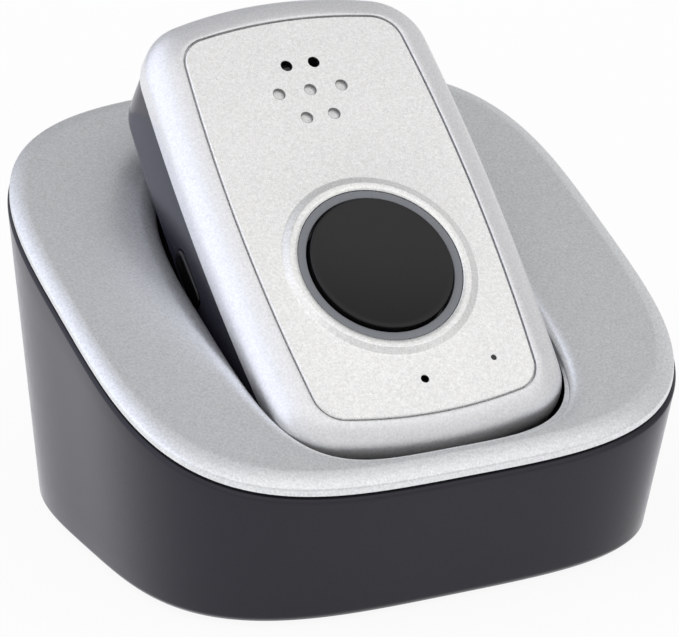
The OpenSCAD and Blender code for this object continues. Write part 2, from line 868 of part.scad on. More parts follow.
module face_panel() {
    ring_gap = 0.08;
    bead_in = ring_out + ring_gap;
    bead_out = bead_in + bead_w;
    bead_low = ring_rise + ring_gap;
    crest_in = 0.55;
    crest_r = bead_in + crest_in;
    dimple = 0.5;
    through = -panel_t - cut_past;
    color([0.88, 0.88, 0.87]) in_pendant() difference() {
        union() {
            plate(panel_plan(0), -panel_t, 0);
            translate([0, button_y, 0]) rotate_extrude() polygon(concat(
                [[bead_in, -panel_t / 2], [bead_out, -panel_t / 2]],
                [
                    for (i = [0 : roll_steps])
                        let (s = 1 - i / roll_steps)
                        [crest_r + (bead_out - crest_r) * s, bead_h * (1 + cos(180 * s)) / 2]
                ],
                [
                    for (i = [1 : roll_steps])
                        let (s = i / roll_steps)
                        [crest_r + (bead_in - crest_r) * s, bead_h + (bead_low - bead_h) * s * s]
                ]
            ));
        }
        translate([0, button_y, 0]) rod(bead_in, through, bead_h + cut_past);
        for (hole = speaker_holes)
            translate([hole[0], hole[1], 0]) rod(speaker_hole_r, hole[2] ? through : -dimple, cut_past);
        translate([0, mic_y, 0]) rod(mic_r, through, cut_past);
        translate([led_x, led_y, 0]) rod(led_r, through, cut_past);
    }
}

module light_ring() {
    lip_w = 1.3;
    color([0.55, 0.58, 0.63]) in_pendant() translate([0, button_y, 0]) rotate_extrude() polygon([
        [ring_in, deck_z],
        [ring_out + lip_w, deck_z],
        [ring_out + lip_w, -panel_t - eps],
        [ring_out, -panel_t - eps],
        [ring_out, ring_rise],
        [ring_in, ring_rise]
    ]);
}

module inner_frame() {
    frame_in = 0.8;
    pilot_roof = 0.4;
    low = frame_bottom - cut_past;
    high = frame_top + cut_past;
    color([0.2, 0.2, 0.21]) in_pendant() difference() {
        union() {
            plate(case_plan(shell_wall + frame_in), frame_bottom, frame_top);
            at_case_screws() rod(case_boss_r, board_top, frame_bottom + eps);
        }
        translate([0, button_y, 0]) rod(flange_r + button_gap + fit_gap, low, high);
        translate([0, speaker_y, 0]) rod(speaker_port_r, low, high);
        translate([0, mic_y, 0]) rod(boot_r + fit_gap, low, high);
        translate([led_x, led_y, 0]) rod(pipe_r + fit_gap, low, high);
        at_case_screws() rod(case_screw_r + eps, board_top - cut_past, frame_bottom - pilot_roof);
    }
}

module rear_case() {
    side = rear_step + rear_draft;
    round_z = back_z + rear_roll;
    shelf_t = 1;
    shelf_z = back_inner + shelf_t;
    roll = [
        for (i = [0 : roll_steps])
            let (t = 90 * i / roll_steps)
            on_level(case_plan(side + rear_roll * (1 - cos(t))), round_z - rear_roll * sin(t))
    ];
    color([0.24, 0.24, 0.26]) in_pendant() difference() {
        ring_loop(concat(
            [
                on_level(case_plan(rear_step + shell_wall), -bezel_h),
                on_level(case_plan(side + shell_wall), shelf_z + shelf_t / 2),
                on_level(case_plan(back_inset + back_ledge), shelf_z),
                on_level(case_plan(back_inset + back_ledge), back_inner),
                on_level(case_plan(back_inset), back_inner),
                on_level(case_plan(back_inset), back_z)
            ],
            [for (i = [roll_steps : -1 : 0]) roll[i]],
            [on_level(case_plan(rear_step), -bezel_h)]
        ));
        key_place() key_form(key_gap, 0, -2 * shell_wall, cut_past);
    }
}

module back_cover() {
    color([0.2, 0.2, 0.22]) in_pendant() difference() {
        union() {
            plate(case_plan(back_inset + fit_gap), back_z, back_inner);
            at_case_screws() rod(case_boss_r, back_inner - eps, board_bottom);
        }
        at_case_screws() rod(case_head_r + fit_gap, back_z - cut_past, back_z + fit_gap + case_head_h);
        at_case_screws() rod(case_screw_r + fit_gap, back_z - cut_past, board_bottom + cut_past);
        at_contacts() rod(pad_r + eps, back_z - cut_past, back_z + pad_t);
    }
}

module case_seal() {
    seal_h = 0.7;
    seal_w = 0.6;
    seal_in = rear_step + shell_wall + fit_gap + eps;
    color([0.08, 0.08, 0.08]) in_pendant() difference() {
        plate(case_plan(seal_in), -bezel_h - seal_h, -bezel_h + seal_h);
        plate(case_plan(seal_in + seal_w), -bezel_h - seal_h - cut_past, -bezel_h + seal_h + cut_past);
    }
}

module case_screws() {
    recess = 0.5;
    cross_l = 1.8;
    cross_w = 0.4;
    tip_roof = 0.7;
    head_z = back_z + fit_gap;
    color([0.7, 0.7, 0.72]) in_pendant() at_case_screws() difference() {
        union() {
            rod(case_head_r, head_z, head_z + case_head_h);
            rod(case_screw_r, head_z + case_head_h - eps, frame_bottom - tip_roof);
        }
        cross_recess(cross_l, cross_w, head_z - cut_past, head_z + recess);
    }
}

module charge_pads() {
    color([0.85, 0.7, 0.36]) in_pendant() at_contacts() rod(pad_r, back_z, back_z + pad_t);
}

// Pendant electronics

module main_board() {
    board_in = 1.6;
    color([0.08, 0.28, 0.15]) in_pendant() difference() {
        plate(case_plan(shell_wall + board_in), board_bottom, board_top);
        at_case_screws() rod(case_screw_r + screw_slack, board_bottom - cut_past, board_top + cut_past);
    }
}

module battery() {
    color([0.72, 0.73, 0.76]) in_pendant() translate([0, battery_y, 0])
        box_on(battery_size, back_inner);
}

module speaker() {
    rim = 1.2;
    color([0.16, 0.16, 0.17]) in_pendant() translate([0, speaker_y, 0]) {
        tube(speaker_r, speaker_port_r, frame_bottom - rim, frame_bottom);
        rod(speaker_r, frame_bottom - speaker_t, frame_bottom - rim);
    }
}

module speaker_gasket() {
    gasket_w = 1;
    color([0.12, 0.12, 0.12]) in_pendant() translate([0, speaker_y, 0])
        tube(speaker_port_r + gasket_w, speaker_port_r, frame_top, -panel_t);
}

module microphone() {
    color([0.75, 0.72, 0.6]) in_pendant() translate([0, mic_y, 0]) box_on(mic_size, board_top);
}

module microphone_boot() {
    bore_r = 0.8;
    color([0.1, 0.1, 0.1]) in_pendant() translate([0, mic_y, 0])
        tube(boot_r, bore_r, board_top + mic_size[2], -panel_t);
}

module status_light_pipe() {
    tip_low = 0.1;
    color([0.85, 0.9, 0.95]) in_pendant() translate([led_x, led_y, 0]) {
        rod(pipe_r, board_top + led_size[2], -panel_t);
        rod(led_r - eps, -panel_t - eps, -tip_low);
    }
}

module status_led() {
    color([0.9, 0.92, 0.8]) in_pendant() translate([led_x, led_y, 0]) box_on(led_size, board_top);
}

module button_switch() {
    color([0.3, 0.3, 0.32]) in_pendant() translate([0, button_y, 0]) difference() {
        block(tact_w, tact_w, board_top, board_top + tact_h);
        rod(plunger_well_r, board_top + tact_floor, board_top + tact_h + cut_past);
    }
}

module side_switch() {
    switch_x = key_tip_x + key_travel + eps + side_switch_size[0] / 2;
    color([0.3, 0.3, 0.32]) in_pendant() translate([switch_x, key_y, 0])
        box_under(side_switch_size, board_bottom);
}

module module_shield() {
    color([0.78, 0.78, 0.78]) in_pendant() translate([0, battery_y, 0])
        box_under(shield_size, board_bottom);
}

module satellite_antenna() {
    color([0.82, 0.76, 0.62]) in_pendant() translate([0, half_l - satellite_from_end, 0])
        box_under(satellite_size, board_bottom);
}

module cellular_antenna() {
    color([0.85, 0.7, 0.36]) in_pendant() translate([0, mic_y - cellular_from_mic, 0])
        box_on(cellular_size, board_top);
}

// Call button and side key

module call_button() {
    fillet = 0.2;
    skirt_top = deck_z - fit_gap;
    skirt_t = 0.9;
    cap_wall = 1.4;
    hollow = button_r - cap_wall;
    stem_r = 1.4;
    root = -0.5;
    steps = 5;
    flat_r = button_r - fillet;
    color([0.13, 0.13, 0.13]) in_pendant() translate([0, button_y, 0]) rotate_extrude() polygon(concat(
        [[0, stem_end], [stem_r, stem_end], [stem_r, root], [hollow, root], [hollow, skirt_top - skirt_t]],
        [[flange_r, skirt_top - skirt_t], [flange_r, skirt_top], [button_r, skirt_top]],
        arc([flat_r, button_rise - fillet], fillet, 0, 90, steps),
        [
            for (i = [0 : steps])
                let (f = 1 - i / steps)
                [flat_r * f, button_rise - button_dish * (1 - f * f)]
        ]
    ));
}

module switch_plunger() {
    side_gap = 0.15;
    color([0.6, 0.6, 0.58]) in_pendant() translate([0, button_y, 0])
        rod(plunger_well_r - side_gap, stem_end - plunger_h, stem_end);
}

module side_key() {
    longer = 1.1;
    stem_r = 1.1;
    color([0.11, 0.11, 0.12]) in_pendant() key_place() {
        key_form(0, 0, -key_inside, key_proud);
        key_form(0, longer, -key_inside - key_flange_t, -key_inside + eps);
        rod(stem_r, -key_inside - key_flange_t - key_stem, -key_inside);
    }
}

cradle_base_shell();
cradle_top_cover();
pocket_liner();
cradle_bottom_plate();
rubber_feet();
bottom_screws();
contact_board();
contact_barrels();
contact_plungers();
jack_board();
power_jack();
jack_pin();
lead_headers();
charger_lead();
board_screws();
front_bezel();
face_panel();
light_ring();
inner_frame();
rear_case();
back_cover();
case_seal();
case_screws();
charge_pads();
main_board();
battery();
speaker();
speaker_gasket();
microphone();
microphone_boot();
status_light_pipe();
status_led();
button_switch();
side_switch();
module_shield();
satellite_antenna();
cellular_antenna();
call_button();
switch_plunger();
side_key();
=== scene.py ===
"""Looks of a mobile medical alert pendant standing in its charging cradle."""

import json
import math

import bmesh
import bpy
from mathutils import Matrix, Vector


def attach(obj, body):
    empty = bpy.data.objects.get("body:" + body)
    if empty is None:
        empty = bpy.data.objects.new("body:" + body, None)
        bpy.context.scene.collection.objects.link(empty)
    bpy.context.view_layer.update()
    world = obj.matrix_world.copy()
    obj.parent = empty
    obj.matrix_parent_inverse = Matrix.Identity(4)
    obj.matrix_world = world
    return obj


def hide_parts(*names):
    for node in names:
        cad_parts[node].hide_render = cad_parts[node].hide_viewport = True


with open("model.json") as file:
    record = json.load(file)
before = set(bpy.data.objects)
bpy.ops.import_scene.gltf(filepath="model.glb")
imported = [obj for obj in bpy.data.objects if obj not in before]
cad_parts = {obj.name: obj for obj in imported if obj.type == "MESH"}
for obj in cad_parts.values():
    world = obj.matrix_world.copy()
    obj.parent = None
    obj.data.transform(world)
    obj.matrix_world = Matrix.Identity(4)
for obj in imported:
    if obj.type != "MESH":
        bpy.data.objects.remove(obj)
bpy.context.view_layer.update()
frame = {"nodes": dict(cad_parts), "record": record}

# Sizes in millimetres, as in the CAD model
MM = 0.001
CRADLE_W = 88.4
CRADLE_D = 82.2
FOOT_W = 81.4
FOOT_D = 75.2
FOOT_SHIFT = 0.5
PLAN_POWER = 3.45
SEAM_Z = 36.9
SEAM_TILT = 22.0
SEAM_SLOPE = math.tan(math.radians(SEAM_TILT))
SEAM_GAP = 0.45
BASE_WALL = 2.0
BASE_LEDGE = 1.4
BASE_LIFT = 0.6
PLATE_TOP = 2.6
PLATE_GAP = 0.3
LEDGE_H = 1.0
FLANGE_T = 1.6
COVER_RISE = 2.0
COVER_INSET = 0.3
COVER_EDGE = 1.0
COVER_BEVEL = 2.3
COVER_BULGE = 0.12
COVER_T = 1.5
COVER_FRONT = 4.3
LIP_ROLL = 3.0
LIP_END_ROLL = 1.3
LIP_DROP = 1.6
LIP_T = 1.4
POCKET_HALF = 24.4
POCKET_FRONT = COVER_FRONT - CRADLE_D / 2
POCKET_END = -35.2
POCKET_REAR = 27.5
POCKET_POWER = 4.0
POCKET_REAR_POWER = 3.0
JACK_Z = 11.5
JACK_HOLE_R = 4.1
JACK_CUT_OUT = 6.0
JACK_CUT_IN = 8.0

PENDANT_W = 47.2
PENDANT_L = 76.4
PENDANT_T = 18.5
PENDANT_CORNER = 9.0
SIDE_BOW = 0.9
END_BOW = 1.65
PENDANT_TILT = 41.3
PENDANT_Y = -6.0
PENDANT_Z = 48.5
BEZEL_H = 6.0
BEZEL_ROLL = 4.0
BEZEL_SWEEP = 6.0
BEZEL_RIM = 4.3
SHELL_WALL = 1.6
REAR_STEP = 0.4
REAR_DRAFT = 0.5
REAR_ROLL = 3.0
BACK_T = 1.2
BACK_Z = -PENDANT_T
BACK_INSET = 4.4
BACK_LEDGE = 1.1
PANEL_W = 37.5
PANEL_L = 66.3
PANEL_T = 1.0
PANEL_CORNER = 4.5
PANEL_SIDE_BOW = 1.3
PANEL_END_BOW = 1.2
PANEL_GROOVE = 0.25
PANEL_SEAT_GAP = 0.05
PANEL_SEAT = PANEL_T + PANEL_SEAT_GAP
PANEL_EDGE = 0.2
DECK_Z = -2.35
BUTTON_Y = -9.05
BUTTON_R = 10.7
BUTTON_RISE = 1.0
BUTTON_DISH = 0.5
BUTTON_GAP = 0.4
RING_W = 1.25
RING_RISE = 0.25
RING_GAP = 0.08
RING_LIP = 1.3
RING_OUT_EDGE = 0.1
RING_IN_EDGE = 0.12
RING_IN = BUTTON_R + BUTTON_GAP
RING_OUT = RING_IN + RING_W
BEAD_W = 2.4
BEAD_H = 0.5
BEAD_RISE_W = 1.07
BEAD_IN = RING_OUT + RING_GAP
BEAD_OUT = BEAD_IN + BEAD_W
BEAD_CREST = BEAD_IN + BEAD_RISE_W
BEAD_SOFT = 0.2
BEAD_LOW = RING_RISE + RING_GAP
SPEAKER_Y = 21.1
SPEAKER_PITCH = 5.03
SPEAKER_ROW = 4.5
SPEAKER_HALF = 2.2
SPEAKER_HOLE_R = 0.88
HOLE_EDGE = 0.09
DIMPLE = 0.5
MIC_FROM_END = 5.3
MIC_Y = MIC_FROM_END - PANEL_L / 2
MIC_R = 0.6
LED_FROM_SIDE = 7.2
LED_FROM_END = 6.7
LED_X = PANEL_W / 2 - LED_FROM_SIDE
LED_Y = LED_FROM_END - PANEL_L / 2
LED_R = 0.42
KEY_L = 9.2
KEY_H = 3.4
KEY_Y = 0.6
KEY_Z = -13.2
KEY_WALL_X = 22.82
KEY_GAP = 0.2
KEY_PROUD = 0.35
KEY_INSIDE = 1.85
KEY_FLANGE = 0.5
KEY_FLANGE_T = 0.6
KEY_EDGE = 0.3
KEY_CREST = 0.05
KEY_CREST_IN = 0.7
KEY_CREST_EDGE = 0.25
KEY_DISH = 0.1
KEY_DISH_IN = 1.1
KEY_CUT_IN = 3.2
KEY_CUT_OUT = 1.0
CONTACT_Y = -29.0
CONTACT_PITCH = 5.0
CONTACT_COUNT = 4
PIN_R = 0.55
PIN_DEPTH = 4.4
PIN_GAP = 0.05
PIN_EDGE = 0.3
PAD_R = 1.3
PAD_T = 0.6
PAD_EDGE = 0.12
PAD_DISH = 0.03
FOOT_R = 4.0
FOOT_T = 1.2
FOOT_EDGE = 0.35
FOOT_X = 26.0
FOOT_Y = 25.0

# How finely the round forms are divided
PLAN_POINTS = 360
ROLL_STEPS = 14
TURN_POINTS = 160
HOLE_POINTS = 48
EDGE_STEPS = 4
FILLET_STEPS = 5

# Lengths too small to matter, in a form's millimetres and in a mesh's metres
TINY = 1e-6
WELD = 1e-7

# Angles in degrees above which an edge stays sharp
SHARP = 35
PANEL_SHARP = 14


# Outlines

def super_ring(half_x, half_y, y0, power, rear_power=None):
    """Points of a superellipse, evenly spread by angle. Its rear half may have another squareness."""
    ring = []
    for i in range(PLAN_POINTS):
        t = 2 * math.pi * i / PLAN_POINTS
        c, s = math.cos(t), math.sin(t)
        p = rear_power if rear_power and s > 0 else power
        r = (abs(c / half_x) ** p + abs(s / half_y) ** p) ** (-1 / p)
        ring.append((r * c, y0 + r * s))
    return ring


def seam_plan(inset):
    return super_ring(CRADLE_W / 2 - inset, CRADLE_D / 2 - inset, 0, PLAN_POWER)


def foot_plan(inset):
    return super_ring(FOOT_W / 2 - inset, FOOT_D / 2 - inset, FOOT_SHIFT, PLAN_POWER)


def opening_plan(side, end):
    """The cover's opening, widened at its sides and at its ends."""
    middle = (POCKET_REAR + POCKET_FRONT) / 2
    depth = (POCKET_REAR - POCKET_FRONT) / 2
    return super_ring(POCKET_HALF + side, depth + end, middle, POCKET_POWER, POCKET_REAR_POWER)


def liner_plan():
    """The opening of the black liner, which ends nearer at the front."""
    depth = (POCKET_REAR - POCKET_END) / 2
    return super_ring(POCKET_HALF, depth, POCKET_END + depth, POCKET_POWER, POCKET_REAR_POWER)


def lip_plan(f):
    """The lip around the cover's opening, from its wall at 0 to the start of its rounding at 1."""
    return opening_plan(LIP_ROLL * f, LIP_END_ROLL * f)


def arc(centre, radius, start, stop, count):
    """Points of an arc in degrees, without its last one."""
    points = []
    for i in range(count):
        t = math.radians(start + (stop - start) * i / count)
        points.append((centre[0] + radius * math.cos(t), centre[1] + radius * math.sin(t)))
    return points


def bowed(a, b, r, side, end):
    """A rounded rectangle with bulging sides, as eight arcs that run smoothly into each other."""
    cx = a - r - side
    cy = b - r - end
    rs = r + (side * side + cy * cy) / (2 * side)
    re = r + (end * end + cx * cx) / (2 * end)
    ts = math.degrees(math.asin(cy / (rs - r)))
    te = math.degrees(math.asin(cx / (re - r)))
    side_n, corner_n, end_n = 32, 24, 24
    return (
        arc((a - rs, 0), rs, -ts, ts, side_n)
        + arc((cx, cy), r, ts, 90 - te, corner_n)
        + arc((0, b - re), re, 90 - te, 90 + te, end_n)
        + arc((-cx, cy), r, 90 + te, 180 - ts, corner_n)
        + arc((rs - a, 0), rs, 180 - ts, 180 + ts, side_n)
        + arc((-cx, -cy), r, 180 + ts, 270 - te, corner_n)
        + arc((0, re - b), re, 270 - te, 270 + te, end_n)
        + arc((cx, -cy), r, 270 + te, 360 - ts, corner_n)
    )


def case_plan(inset):
    return bowed(PENDANT_W / 2 - inset, PENDANT_L / 2 - inset, PENDANT_CORNER - inset, SIDE_BOW, END_BOW)


def panel_plan(outset):
    return bowed(
        PANEL_W / 2 + outset, PANEL_L / 2 + outset, PANEL_CORNER + outset, PANEL_SIDE_BOW, PANEL_END_BOW
    )


def seam_at(y):
    return SEAM_Z + SEAM_SLOPE * y


def on_seam(plan, h):
    return [Vector((x, y, seam_at(y) + h)) for x, y in plan]


def on_level(plan, z):
    return [Vector((x, y, z)) for x, y in plan]


def between(a, b, f):
    return [p.lerp(q, f) for p, q in zip(a, b)]


# Meshes

def soften(rings, closed=True):
    """Rounds the corners of a loop of rings. Each entry is a ring and the radius of its edge."""
    smooth = []
    count = len(rings)
    for i, (ring, radius) in enumerate(rings):
        inner = closed or 0 < i < count - 1
        if not radius or not inner:
            smooth.append(ring)
            continue
        before = rings[i - 1][0]
        after = rings[(i + 1) % count][0]
        for k in range(EDGE_STEPS + 1):
            t = k / EDGE_STEPS
            bent = []
            for p, q, r in zip(before, ring, after):
                start = q + (p - q) * min(0.5, radius / max((p - q).length, TINY))
                stop = q + (r - q) * min(0.5, radius / max((r - q).length, TINY))
                bent.append(start * (1 - t) ** 2 + q * 2 * t * (1 - t) + stop * t * t)
            smooth.append(bent)
    return smooth


def ring_faces(count, rings, closed=True):
    """Quads that join rings of count points, listed up the outside and down the inside."""
    faces = []
    for i in range(rings if closed else rings - 1):
        k = (i + 1) % rings
        for j in range(count):
            n = (j + 1) % count
            faces.append((i * count + j, i * count + n, k * count + n, k * count + j))
    return faces


def loop_shell(rings):
    rings = soften(rings)
    points = [p for ring in rings for p in ring]
    return points, ring_faces(len(rings[0]), len(rings))


def turned(profile, centre=(0, 0)):
    """A lathe form about an upright axis, from a list of radius and height that runs from bottom to top."""
    points = []
    rows = []
    for r, z in profile:
        if r < TINY:
            rows.append([len(points)])
            points.append(Vector((centre[0], centre[1], z)))
            continue
        row = []
        for j in range(TURN_POINTS):
            t = 2 * math.pi * j / TURN_POINTS
            row.append(len(points))
            points.append(Vector((centre[0] + r * math.cos(t), centre[1] + r * math.sin(t), z)))
        rows.append(row)
    faces = []
    for low, high in zip(rows, rows[1:]):
        for j in range(TURN_POINTS):
            n = (j + 1) % TURN_POINTS
            if len(low) == 1:
                faces.append((low[0], high[n], high[j]))
            elif len(high) == 1:
                faces.append((low[j], low[n], high[0]))
            else:
                faces.append((low[j], low[n], high[n], high[j]))
    return points, faces


def rounded(profile):
    """A profile of (radius, height, rounding) with its corners turned into small curves."""
    out = []
    for i, (r, z, fillet) in enumerate(profile):
        if not fillet:
            out.append((r, z))
            continue
        here = Vector((r, z))
        before = Vector(profile[i - 1][:2])
        after = Vector(profile[(i + 1) % len(profile)][:2])
        start = here + (before - here).normalized() * fillet
        stop = here + (after - here).normalized() * fillet
        for k in range(FILLET_STEPS + 1):
            t = k / FILLET_STEPS
            p = start * (1 - t) ** 2 + here * 2 * t * (1 - t) + stop * t * t
            out.append((p.x, p.y))
    return out


def joined(*forms):
    points = []
    faces = []
    for p, f in forms:
        shift = len(points)
        points += p
        faces += [tuple(i + shift for i in face) for face in f]
    return points, faces


PENDANT = (
    Matrix.Translation((0, PENDANT_Y, PENDANT_Z))
    @ Matrix.Rotation(math.radians(PENDANT_TILT), 4, "X")
)


def mesh_of(name, form, place):
    """A mesh in metres from a form in millimetres, with its faces turned outwards."""
    points, faces = form
    mesh = bpy.data.meshes.new(name)
    mesh.from_pydata([(place @ p if place else p) * MM for p in points], [], faces)
    work = bmesh.new()
    work.from_mesh(mesh)
    bmesh.ops.remove_doubles(work, verts=work.verts, dist=WELD)
    bmesh.ops.recalc_face_normals(work, faces=work.faces)
    work.to_mesh(mesh)
    work.free()
    return mesh


def linked(name, data):
    """A new object in the scene."""
    obj = bpy.data.objects.new(name, data)
    bpy.context.scene.collection.objects.link(obj)
    return obj


def shade_smooth(obj, sharp=SHARP):
    obj.data.polygons.foreach_set("use_smooth", [True] * len(obj.data.polygons))
    obj.data.set_sharp_from_angle(angle=math.radians(sharp))


def piece(name, form, body, slot, node, place=None, sharp=SHARP):
    """Makes a piece in the finish of its slot, which rides on a body and stands for a node."""
    obj = linked(name, mesh_of(name, form, place))
    shade_smooth(obj, sharp)
    obj.data.materials.append(MATERIALS[slot])
    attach(obj, body)
    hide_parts(node)
    return obj


def cut(obj, form, place):
    """Cuts a closed form out of a piece for good."""
    cutter = linked("cutter", mesh_of("cutter", form, place))
    tool = obj.modifiers.new("cut", "BOOLEAN")
    tool.object = cutter
    tool.operation = "DIFFERENCE"
    tool.solver = "EXACT"
    bpy.context.view_layer.update()
    result = bpy.data.meshes.new_from_object(obj.evaluated_get(bpy.context.evaluated_depsgraph_get()))
    obj.modifiers.clear()
    whole = obj.data
    obj.data = result
    result.name = whole.name
    form_mesh = cutter.data
    bpy.data.objects.remove(cutter)
    for spent in (whole, form_mesh):
        bpy.data.meshes.remove(spent)
    shade_smooth(obj)


# Materials

class Paint:
    """A node material built around one Principled shader, with patterns in object space."""

    MIDDLE = (0.3, 0.7)

    def __init__(self, name, colour, roughness, metallic=0.0):
        self.material = bpy.data.materials.new(name)
        self.material.use_nodes = True
        self.nodes = self.material.node_tree.nodes
        self.links = self.material.node_tree.links
        self.shader = self.nodes["Principled BSDF"]
        self.shader.inputs["Base Color"].default_value = (*colour, 1)
        self.shader.inputs["Roughness"].default_value = roughness
        self.shader.inputs["Metallic"].default_value = metallic
        self.colour = colour
        self.place = self.nodes.new("ShaderNodeTexCoord").outputs["Object"]

    def noise(self, size_mm, detail=2.0, rough=0.5):
        node = self.nodes.new("ShaderNodeTexNoise")
        node.inputs["Scale"].default_value = 1 / (size_mm * MM)
        node.inputs["Detail"].default_value = detail
        node.inputs["Roughness"].default_value = rough
        self.links.new(self.place, node.inputs["Vector"])
        return node.outputs["Fac"]

    def spread(self, value, low, high):
        """Stretches the middle of a pattern, where most of it lies, to run from low to high."""
        node = self.nodes.new("ShaderNodeMapRange")
        node.inputs["From Min"].default_value = self.MIDDLE[0]
        node.inputs["From Max"].default_value = self.MIDDLE[1]
        node.inputs["To Min"].default_value = low
        node.inputs["To Max"].default_value = high
        self.links.new(value, node.inputs["Value"])
        return node.outputs["Result"]

    def vary_colour(self, value, low, high):
        """Multiplies the colour by a pattern that runs from low to high."""
        node = self.nodes.new("ShaderNodeMix")
        node.data_type = "RGBA"
        node.inputs["A"].default_value = (*[c * low for c in self.colour], 1)
        node.inputs["B"].default_value = (*[min(1, c * high) for c in self.colour], 1)
        self.links.new(self.spread(value, 0, 1), node.inputs["Factor"])
        self.links.new(node.outputs["Result"], self.shader.inputs["Base Color"])

    def vary_roughness(self, value, low, high):
        self.links.new(self.spread(value, low, high), self.shader.inputs["Roughness"])

    def bump(self, value, height_mm):
        node = self.nodes.new("ShaderNodeBump")
        node.inputs["Distance"].default_value = height_mm * MM
        self.links.new(value, node.inputs["Height"])
        self.links.new(node.outputs["Normal"], self.shader.inputs["Normal"])


def silver_paint(name, colour, roughness, metallic, grain_mm, contrast, bump_mm):
    """Silver paint with a fine mottled grain."""
    uneven = 0.04
    patch_mm = grain_mm * 2.5
    paint = Paint(name, colour, roughness, metallic)
    grain = paint.noise(grain_mm, detail=3.0, rough=0.6)
    paint.vary_colour(grain, 1 - contrast, 1 + contrast)
    paint.vary_roughness(paint.noise(patch_mm), roughness - uneven, roughness + uneven)
    paint.bump(grain, bump_mm)
    return paint.material


def moulded_plastic(name, colour, roughness, grain_mm=0.25, bump_mm=0.002, contrast=0.05, specular=0.5):
    """Plastic with a fine moulded grain."""
    uneven = 0.03
    patch_mm = grain_mm * 6
    paint = Paint(name, colour, roughness)
    grain = paint.noise(grain_mm)
    paint.vary_colour(grain, 1 - contrast, 1 + contrast)
    paint.vary_roughness(paint.noise(patch_mm), roughness - uneven, roughness + uneven)
    paint.bump(grain, bump_mm)
    paint.shader.inputs["Specular IOR Level"].default_value = specular
    return paint.material


def charcoal_plastic(name):
    """Charcoal plastic with a faint bluish bloom at its edges."""
    material = moulded_plastic(name, colour=(0.026, 0.026, 0.031), roughness=0.18, specular=0.22)
    shader = material.node_tree.nodes["Principled BSDF"]
    shader.inputs["IOR"].default_value = 1.55
    shader.inputs["Specular Tint"].default_value = (0.92, 0.88, 1.0, 1)
    shader.inputs["Sheen Weight"].default_value = 0.12
    shader.inputs["Sheen Roughness"].default_value = 0.35
    shader.inputs["Sheen Tint"].default_value = (0.5, 0.5, 0.9, 1)
    return material


def plated_metal(name, colour, roughness, scratch_mm=0.4):
    """Plated metal with fine scratches."""
    smoother, rougher = 0.06, 0.1
    paint = Paint(name, colour, roughness, metallic=1.0)
    scratches = paint.noise(scratch_mm, detail=5.0, rough=0.7)
    paint.vary_colour(scratches, low=0.9, high=1.06)
    paint.vary_roughness(scratches, roughness - smoother, roughness + rougher)
    paint.bump(scratches, height_mm=0.003)
    return paint.material


COVER_GRAIN = dict(grain_mm=0.34, contrast=0.15, bump_mm=0.012)
BEZEL_GRAIN = dict(grain_mm=0.34, contrast=0.11, bump_mm=0.014)
FACE_GRAIN = dict(grain_mm=0.38, contrast=0.13, bump_mm=0.010)
SILVERS = {
    "silver_paint": dict(colour=(0.83, 0.84, 0.852), roughness=0.34, metallic=0.8, **COVER_GRAIN),
    "silver_bezel": dict(colour=(0.85, 0.85, 0.86), roughness=0.40, metallic=0.74, **BEZEL_GRAIN),
    "face_silver": dict(colour=(0.895, 0.89, 0.875), roughness=0.28, metallic=0.72, **FACE_GRAIN),
    # Painted shade for the blind speaker holes: a dark grey for their rims and walls and a dimmer silver for
    # their floors
    "dimple_wall": dict(colour=(0.26, 0.26, 0.26), roughness=0.4, metallic=0.6, **FACE_GRAIN),
    "dimple_floor": dict(colour=(0.80, 0.80, 0.79), roughness=0.32, metallic=0.6, **FACE_GRAIN),
}
PLASTICS = {
    "black_plastic": dict(colour=(0.004, 0.004, 0.0045), roughness=0.45, grain_mm=0.3, bump_mm=0.004),
    "button_black": dict(colour=(0.005, 0.005, 0.005), roughness=0.18, grain_mm=0.3, specular=0.36),
    "light_ring": dict(colour=(0.22, 0.23, 0.25), roughness=0.32, grain_mm=0.3),
    "foot_rubber": dict(
        colour=(0.012, 0.012, 0.012), roughness=0.8, grain_mm=0.35, bump_mm=0.02, contrast=0.12
    ),
    "circuit_board": dict(
        colour=(0.03, 0.16, 0.07), roughness=0.35, grain_mm=0.5, bump_mm=0.004, contrast=0.12
    ),
    "nylon": dict(colour=(0.80, 0.77, 0.68), roughness=0.45, grain_mm=0.4, bump_mm=0.004),
    "wire_red": dict(colour=(0.45, 0.03, 0.025), roughness=0.4, grain_mm=0.4, bump_mm=0.004),
    "light_pipe": dict(colour=(0.012, 0.012, 0.014), roughness=0.12, grain_mm=0.6, bump_mm=0.001),
    "ceramic": dict(colour=(0.66, 0.56, 0.40), roughness=0.6, grain_mm=0.3, bump_mm=0.01, contrast=0.1),
}
METALS = {
    "screw_steel": dict(colour=(0.55, 0.56, 0.58), roughness=0.34),
    "plated_steel": dict(colour=(0.72, 0.72, 0.73), roughness=0.3),
    "gold_plate": dict(colour=(0.83, 0.60, 0.25), roughness=0.24),
    "battery_foil": dict(colour=(0.66, 0.67, 0.70), roughness=0.4, scratch_mm=1.2),
}
MATERIALS = {"charcoal_plastic": charcoal_plastic("charcoal_plastic")}
for maker, looks in ((silver_paint, SILVERS), (moulded_plastic, PLASTICS), (plated_metal, METALS)):
    for name, look in looks.items():
        MATERIALS[name] = maker(name, **look)
for part in frame["record"]["subparts"]:
    node = frame["nodes"][part["node"]]
    node.data.materials.clear()
    node.data.materials.append(MATERIALS[part["material_slot"]])


# Cradle

def quarter(steps=ROLL_STEPS):
    """Sine and cosine of each step of a quarter turn."""
    for i in range(steps + 1):
        t = math.pi / 2 * i / steps
        yield math.sin(t), math.cos(t)


